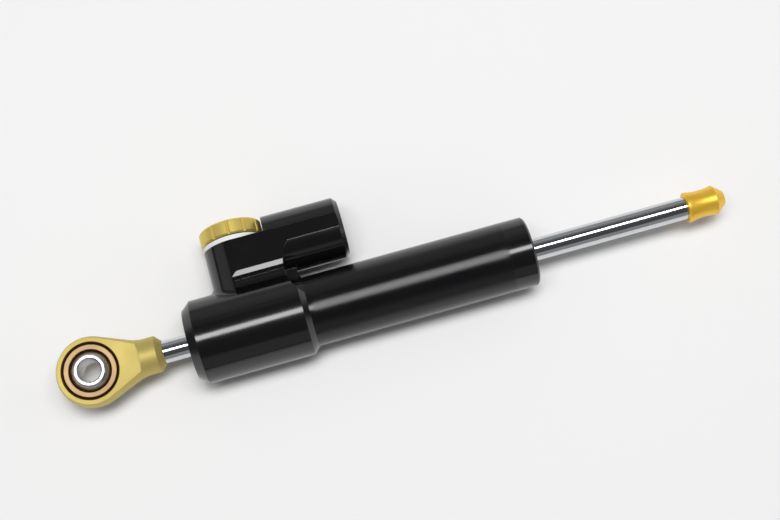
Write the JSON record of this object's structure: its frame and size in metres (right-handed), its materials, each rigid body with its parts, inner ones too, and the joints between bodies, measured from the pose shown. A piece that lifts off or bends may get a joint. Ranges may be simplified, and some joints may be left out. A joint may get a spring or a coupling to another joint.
{
  "type": "motorcycle steering damper",
  "caption": "Hydraulic steering damper: through rod with a spherical rod end and an end stop, cylinder block with click adjuster and side reservoir.",
  "frame": {"origin": "centre of the rod end's ball", "axes": "+X along the piston rod towards the end stop, +Z along the rod end's bolt hole, up from the bench that the damper lies on; the adjuster tower points along +Y, 5.9 degrees down"},
  "size_m": [0.2438, 0.0534, 0.03],
  "materials": {
    "black_anodised": "satin black anodised",
    "gold_anodised": "satin olive gold anodised",
    "gold_bright": "bright orange gold anodised",
    "silver_anodised": "fine turned, clear anodised",
    "bright_aluminium": "fine turned",
    "hard_chrome": "ground and hard chromed",
    "ball_chrome": "polished and chromed",
    "honed_steel": "honed bore",
    "bright_steel": "ground",
    "spring_steel": "oiled spring steel",
    "black_steel": "black oxide",
    "bronze_race": "turned bronze",
    "bronze_bush": "sintered bronze",
    "brass": "turned brass",
    "white_slide": "plain slide plastic",
    "seal_rubber": "matt nitrile"
  },
  "bodies": {
    "damper_body": {"valve_block": "black_anodised", "main_tube": "black_anodised", "inner_cylinder": "honed_steel", "end_gland": "black_anodised", "cylinder_seals": "seal_rubber", "tube_seals": "seal_rubber", "left_rod_wiper": "seal_rubber", "left_rod_seal": "seal_rubber", "left_backing_ring": "white_slide", "left_rod_bush": "bronze_bush", "left_bush_circlip": "spring_steel", "right_rod_bush": "bronze_bush", "right_rod_seal": "seal_rubber", "right_rod_wiper": "seal_rubber", "reservoir_end_plug": "black_anodised", "end_plug_o_ring": "seal_rubber", "reservoir_circlip": "spring_steel", "fill_screw": "black_steel", "index_ring": "silver_anodised", "adjuster_gland": "bright_aluminium", "adjuster_seals": "seal_rubber", "valve_seat": "brass", "detent_ball": "bright_steel", "detent_spring": "spring_steel"},
    "piston_set": {"piston": "bright_aluminium", "piston_band": "white_slide", "piston_o_ring": "seal_rubber"},
    "rod": {"piston_rod": "hard_chrome", "piston_snap_rings": "spring_steel", "rod_end_housing": "gold_anodised", "bearing_race": "bronze_race", "rod_end_stop": "gold_bright"},
    "ball": {"bearing_ball": "ball_chrome"},
    "knob": {"adjuster_knob": "gold_anodised", "knob_screw": "black_steel", "adjuster_spindle": "bright_steel"},
    "needle": {"metering_needle": "bright_steel"},
    "float": {"floating_piston": "bright_aluminium", "floating_piston_o_ring": "seal_rubber"}
  },
  "joints": [
    {"name": "rod_slide", "type": "slide", "parent": "damper_body", "child": "piston_set", "axis": [1, 0, 0], "range_m": [-0.056, 0.0075]},
    {"name": "rod_turn", "type": "hinge", "parent": "piston_set", "child": "rod", "pos_m": [0, 0, 0], "axis": [1, 0, 0], "continuous": true},
    {"name": "ball_tilt", "type": "hinge", "parent": "rod", "child": "ball", "pos_m": [0, 0, 0], "axis": [0, 1, 0], "range_deg": [-13, 13]},
    {"name": "knob_turn", "type": "hinge", "parent": "damper_body", "child": "knob", "pos_m": [0.05851, 0, 0], "axis": [0, 0.9947, -0.1028], "range_deg": [-180, 180]},
    {"name": "needle_lift", "type": "slide", "parent": "knob", "child": "needle", "axis": [0, 0.9947, -0.1028], "range_m": [-0.0005, 0.0005]},
    {"name": "float_slide", "type": "slide", "parent": "damper_body", "child": "float", "axis": [1, 0, 0], "range_m": [-0.003, 0.003], "stiffness_N_per_m": 400}
  ],
  "couplings": [
    {"joint": "needle_lift", "follows": "knob_turn", "m_per_rad": 0.00015915}
  ]
}
